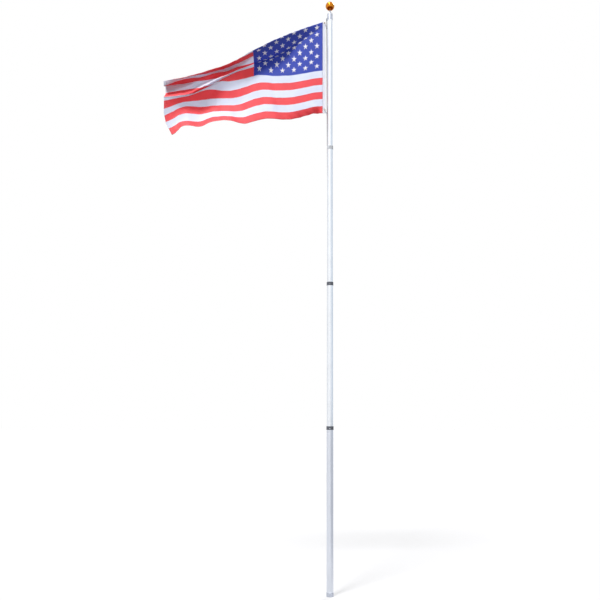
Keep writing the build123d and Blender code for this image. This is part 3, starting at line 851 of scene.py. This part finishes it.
class FLAGPOLE_OT_cloth(Operator):
    """Make the sewn cloth of the flag as it hangs"""

    bl_idname = "flagpole.cloth"
    bl_label = "Cloth"

    def execute(self, context):
        look = context.scene.flagpole_flag
        cloth = hung_cloth(look)
        columns, rows = len(cloth.along), len(cloth.down)
        half = cloth.normal * look.thickness / 2
        points = np.concatenate([(cloth.grid + half).reshape(-1, 3), (cloth.grid - half).reshape(-1, 3)])
        back = columns * rows
        edge = list(cloth.along).index(look.canton_fly)
        faces, marks, shade = [], [], []

        def add(corners, flat, tint):
            faces.append(corners)
            marks.extend(flat)
            shade.append(tint)

        def tint_of(i, j):
            stripe = min(j // STRIPE_ROWS, look.stripes - 1)
            if stripe < look.canton_stripes and i < edge:
                return 2
            return stripe % 2

        for i in range(columns - 1):
            for j in range(rows - 1):
                a, b, c, d = i * rows + j, (i + 1) * rows + j, (i + 1) * rows + j + 1, i * rows + j + 1
                left, right = cloth.along[i : i + 2]
                top, bottom = cloth.down[j : j + 2]
                flat = [(left, top), (right, top), (right, bottom), (left, bottom)]
                add((a, d, c, b), [flat[0], flat[3], flat[2], flat[1]], tint_of(i, j))
                add((a + back, b + back, c + back, d + back), flat, tint_of(i, j))
        rim = [i * rows for i in range(columns)]
        rim += [(columns - 1) * rows + j for j in range(1, rows)]
        rim += [i * rows + rows - 1 for i in range(columns - 2, -1, -1)]
        rim += [j for j in range(rows - 2, 0, -1)]
        for k, a in enumerate(rim):
            b = rim[(k + 1) % len(rim)]
            place = [(cloth.along[v // rows], cloth.down[v % rows]) for v in (a, b)]
            tint = tint_of(min(a // rows, columns - 2), min(a % rows, rows - 2))
            add((a, b, b + back, a + back), [place[0], place[1], place[1], place[0]], tint)
        finish = [
            woven_nylon("woven nylon, red", look.red, look.sheer),
            woven_nylon("woven nylon, white", look.white, look.sheer),
            woven_nylon("woven nylon, blue", look.blue, look.blue_sheer),
        ]
        made = piece("flag_cloth", points, faces, "flag", finish)
        made.data.uv_layers.new(name="cloth").data.foreach_set("uv", np.array(marks).ravel())
        made.data.polygons.foreach_set("material_index", shade)
        stripes = [f"stripe_{n + 1:02d}_{'white' if n % 2 else 'red'}" for n in range(look.stripes)]
        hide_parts("flag_canton", *stripes)
        return {"FINISHED"}


class FLAGPOLE_OT_stars(Operator):
    """Make the embroidered stars on both faces of the canton"""

    bl_idname = "flagpole.stars"
    bl_label = "Stars"

    def execute(self, context):
        look = context.scene.flagpole_flag
        thread = embroidery("embroidered polyester, star", linear("#F4F2FC"), 0.0012)
        # 9 rows and 11 columns, with a star at every other crossing
        width = look.canton_fly / 12
        height = look.hoist * look.canton_stripes / look.stripes / 10
        spots = [(c * width, r * height, 0.0) for r in range(1, 10) for c in range(1, 12) if (r + c) % 2 == 0]
        turns = [(0.0, 0.0, 0.0)] * len(spots)
        shape = self.star(look.thickness, look.star)
        made = scattered("stars", shape, "Star width", look.star, spots, turns, "flag", thread)
        drape(made.data, hung_cloth(look))
        return {"FINISHED"}

    def star(self, thickness, width):
        """A five-pointed star with a raised middle, on both faces of the cloth."""
        radius = width / 2 / math.cos(math.radians(18))
        inner = radius * math.sin(math.radians(18)) / math.sin(math.radians(54))
        corners = []
        for k in range(10):
            reach, angle = inner if k % 2 else radius, math.radians(36 * k - 90)
            corners.append((reach * math.cos(angle), reach * math.sin(angle)))
        outline = []
        for (x, y), (next_x, next_y) in zip(corners, corners[1:] + corners[:1]):
            outline += [(x, y), ((x + next_x) / 2, (y + next_y) / 2)]
        build = bmesh.new()
        for side in (1, -1):
            # Each ring is a share of the star's size, lifted off the cloth
            rings = [
                [build.verts.new((x * share, y * share, side * (thickness / 2 + lift))) for x, y in outline]
                for share, lift in ((1.0, 0.0001), (0.96, 0.0009), (0.55, 0.0012))
            ]
            loft(build, rings, flip=side > 0)
        return built("star_shape", build)


class FLAGPOLE_OT_seams(Operator):
    """Make the stitches of the felled seams and the hems"""

    bl_idname = "flagpole.seams"
    bl_label = "Seams and stitches"

    def execute(self, context):
        look = context.scene.flagpole_flag
        thread = embroidery("sewing thread, polyester", linear("#E6E4F0"), 0.0008)
        spots, turns = [], []
        for first, last in self.rows(look):
            stitches = int(math.dist(first, last) / look.stitch_pitch)
            run, fall = last[0] - first[0], last[1] - first[1]
            for k in range(stitches):
                share = (k + 0.5) / stitches
                spots.append((first[0] + run * share, first[1] + fall * share, 0.0))
                turns.append((0.0, 0.0, math.atan2(fall, run)))
        shape = self.stitch(look.thickness)
        made = scattered("stitches", shape, "Stitch length", 0.0034, spots, turns, "flag", thread)
        drape(made.data, hung_cloth(look))
        return {"FINISHED"}

    def rows(self, look):
        """The first and last point of each row of stitches on the flat cloth."""
        stripe = look.hoist / look.stripes
        # Rows start past the header's fold and stop short of the hems they cross
        start, stop, top, bottom = 0.012, look.fly - 0.02, 0.006, look.hoist - 0.006
        felled = (-look.seam / 3, look.seam / 3)
        rows = []
        for n in range(1, look.stripes):
            left = look.canton_fly if n < look.canton_stripes else start
            rows += [((left, n * stripe + off), (stop, n * stripe + off)) for off in felled]
        for off in felled:
            edge = look.canton_fly + off
            rows.append(((edge, 0.01), (edge, stripe * look.canton_stripes)))
        # Four rows hold the fly hem, two each of the long hems, and two the header
        rows += [((look.fly - off, top), (look.fly - off, bottom)) for off in (0.004, 0.009, 0.018, 0.023)]
        for off in (0.004, 0.010):
            rows += [((start, height), (stop, height)) for height in (off, look.hoist - off)]
        rows += [((off, top), (off, bottom)) for off in (0.003, 0.008)]
        return rows

    def stitch(self, thickness):
        """One stitch as a slim lozenge that pokes through both faces."""
        mesh = bpy.data.meshes.new("stitch_shape")
        reach, width, lift = 0.0017, 0.0005, thickness / 2 + 0.0005
        points = [(-reach, 0, 0), (0, -width, 0), (reach, 0, 0), (0, width, 0), (0, 0, lift), (0, 0, -lift)]
        upper = [(k, (k + 1) % 4, 4) for k in range(4)]
        lower = [((k + 1) % 4, k, 5) for k in range(4)]
        mesh.from_pydata(points, [], upper + lower)
        return mesh


class FLAGPOLE_OT_header(Operator):
    """Finish the header, its grommets and the snap hooks"""

    bl_idname = "flagpole.header"
    bl_label = "Header and hooks"

    def execute(self, context):
        dress("flag_header", cotton_canvas("cotton canvas, header", linear("#F1F2F8"), 0.4))
        brass = turned_metal("stamped brass, grommet", linear("#A98A55"), 0.3, 0.5, 0.6)
        zinc = turned_metal("die-cast zinc, plated hook", linear("#A9A8B6"), 0.25, 0.45, 0.7)
        for end in ("upper", "lower"):
            dress(f"grommet_{end}", brass)
            for part in ("snap_hook", "snap_eye", "snap_bolt"):
                dress(f"{part}_{end}", zinc)
        return {"FINISHED"}


class FLAGPOLE_OT_stage(Operator):
    """Make the floor, the light and the camera"""

    bl_idname = "flagpole.stage"
    bl_label = "Stage"

    def execute(self, context):
        look = context.scene.flagpole_stage
        scene = context.scene
        self.floor()
        self.cards()
        self.world(scene, look)
        self.lamps(look)
        camera = linked("camera", bpy.data.cameras.new("camera"))
        camera.location = (0.0, -look.distance, look.eye_height)
        camera.rotation_euler = (math.pi / 2 + look.pitch, 0.0, 0.0)
        camera.data.lens = look.lens
        camera.data.sensor_width = 36.0
        camera.data.shift_x = look.shift
        scene.camera = camera
        scene.view_settings.view_transform = "Standard"
        return {"FINISHED"}

    def seen(self, tree):
        """One for rays from the camera, a reflection or a transmission, and none for diffuse light."""
        path = node(tree, "ShaderNodeLightPath")
        most = path.outputs["Is Camera Ray"]
        for way in ("Is Glossy Ray", "Is Transmission Ray"):
            rays = {0: most, 1: path.outputs[way]}
            most = node(tree, "ShaderNodeMath", rays, operation="MAXIMUM").outputs[0]
        return most

    def level(self, reach, height):
        """The corners of a level square about the pole."""
        return [(x * reach, y * reach, height) for x, y in ((-1, -1), (1, -1), (1, 1), (-1, 1))]

    def upright(self, x, near, far, top):
        """The corners of an upright card beside the pole, from near the viewer to far, just off the floor."""
        low = 0.02
        return [(x, near, low), (x, far, low), (x, far, top), (x, near, top)]

    def flat_piece(self, name, corners, finish):
        """One flat face of the stage."""
        mesh = bpy.data.meshes.new(name)
        mesh.from_pydata(corners, [], [(0, 1, 2, 3)])
        mesh.materials.append(finish)
        made = linked(name, mesh)
        return made

    def cards(self):
        """Dim glowing cards that only reflections see: painted reflections that draw the pole's edges and the
        ball's lower half.
        """
        side, near_side, tall, foot_joint = 3.0, 1.0, 9.0, 1.42
        black = linear("#000000")
        # The painted ball reflection hangs just under the ball, over its own white lining: both are glowing
        # cards that paint reflections, the brown one on the ball's lower half
        below_ball, lining, small = 5.254, 5.252, 0.16
        # The upright cards glow as painted reflections, slightly dimmer than the surround, along the edges of
        # the tubes
        for name, code, strength, corners in (
            ("right card", "#D3DFEC", 0.93, self.upright(side, -1.0, 2.4, tall)),
            ("front card", "#F2F7FC", 1.0, self.upright(side, -7.0, -1.0, tall)),
            ("left card", "#D6DBE4", 0.92, self.upright(-side, 1.2, 3.0, tall)),
            ("foot card", "#D2D5DA", 0.97, self.upright(near_side, -2.5, 0.8, foot_joint)),
            ("ground card", "#B87445", 0.5, self.level(small, below_ball)),
            ("lining", "#FFFFFF", 1.0, self.level(small, lining)),
        ):
            glow = {"Emission_Color": linear(code), "Emission_Strength": strength}
            made, _, _ = surface(name, Base_Color=black, Roughness=1.0, Specular_IOR_Level=0.0, **glow)
            card = self.flat_piece(name, corners, made)
            for ray in ("camera", "diffuse", "shadow", "transmission"):
                setattr(card, "visible_" + ray, False)

    def floor(self):
        """A plain floor that looks white and keeps a soft shadow."""
        grey, white = linear("#808082"), linear("#FFFFFF")
        dull = {"Roughness": 0.9, "Specular_IOR_Level": 0.0}
        made, tree, shader = surface("white floor", Base_Color=grey, Emission_Color=white, **dull)
        # With the lamps' light on the grey, this glow just reaches white
        strength = node(tree, "ShaderNodeMath", {0: self.seen(tree), 1: 0.64}, operation="MULTIPLY")
        tree.links.new(strength.outputs[0], shader.inputs["Emission Strength"])
        self.flat_piece("floor", self.level(40.0, 0.0), made)

    def world(self, scene, look):
        """A white surround that lights evenly."""
        world = bpy.data.worlds.new("white surround")
        world.use_nodes = True
        scene.world = world
        tree = world.node_tree
        strength = node(tree, "ShaderNodeMapRange", {"Value": self.seen(tree)}, To_Min=look.fill, To_Max=1.0)
        background = tree.nodes["Background"]
        background.inputs["Color"].default_value = linear("#FFFFFF")
        tree.links.new(strength.outputs["Result"], background.inputs["Strength"])

    def lamps(self, look):
        """A soft light from the front, high on the left, and a weaker one from behind the cloth."""
        for name, strength, tilt, turn in (("front", look.front, 32, -30), ("back", look.back, -50, -20)):
            lamp = linked(name, bpy.data.lights.new(name, "SUN"))
            lamp.data.energy = strength
            lamp.data.angle = math.radians(12)
            lamp.rotation_euler = (math.radians(tilt), 0.0, math.radians(turn))


class FLAGPOLE_PT_panel(Panel):
    """Sizes, colours and steps of the flagpole"""

    bl_idname = "FLAGPOLE_PT_panel"
    bl_label = "Flagpole"
    bl_space_type = "VIEW_3D"
    bl_region_type = "UI"
    bl_category = "Flagpole"

    def draw(self, context):
        for group, settings in SETTINGS.items():
            box = self.layout.box()
            for name in settings.__annotations__:
                box.prop(getattr(context.scene, group), name)
        for step in STEPS:
            self.layout.operator(step.bl_idname)


STEPS = [
    FLAGPOLE_OT_stage,
    FLAGPOLE_OT_tubes,
    FLAGPOLE_OT_collars,
    FLAGPOLE_OT_screws,
    FLAGPOLE_OT_truck,
    FLAGPOLE_OT_finial,
    FLAGPOLE_OT_cleat,
    FLAGPOLE_OT_halyard,
    FLAGPOLE_OT_cloth,
    FLAGPOLE_OT_stars,
    FLAGPOLE_OT_seams,
    FLAGPOLE_OT_header,
]


def register():
    for made in (*SETTINGS.values(), *STEPS, FLAGPOLE_PT_panel):
        bpy.utils.register_class(made)
    for name, settings in SETTINGS.items():
        setattr(bpy.types.Scene, name, PointerProperty(type=settings))


def unregister():
    for name in SETTINGS:
        delattr(bpy.types.Scene, name)
    for made in reversed((*SETTINGS.values(), *STEPS, FLAGPOLE_PT_panel)):
        bpy.utils.unregister_class(made)


def main():
    """Make every piece."""
    register()
    for step in STEPS:
        getattr(bpy.ops.flagpole, step.bl_idname.split(".")[1])()


if __name__ == "__main__":
    main()
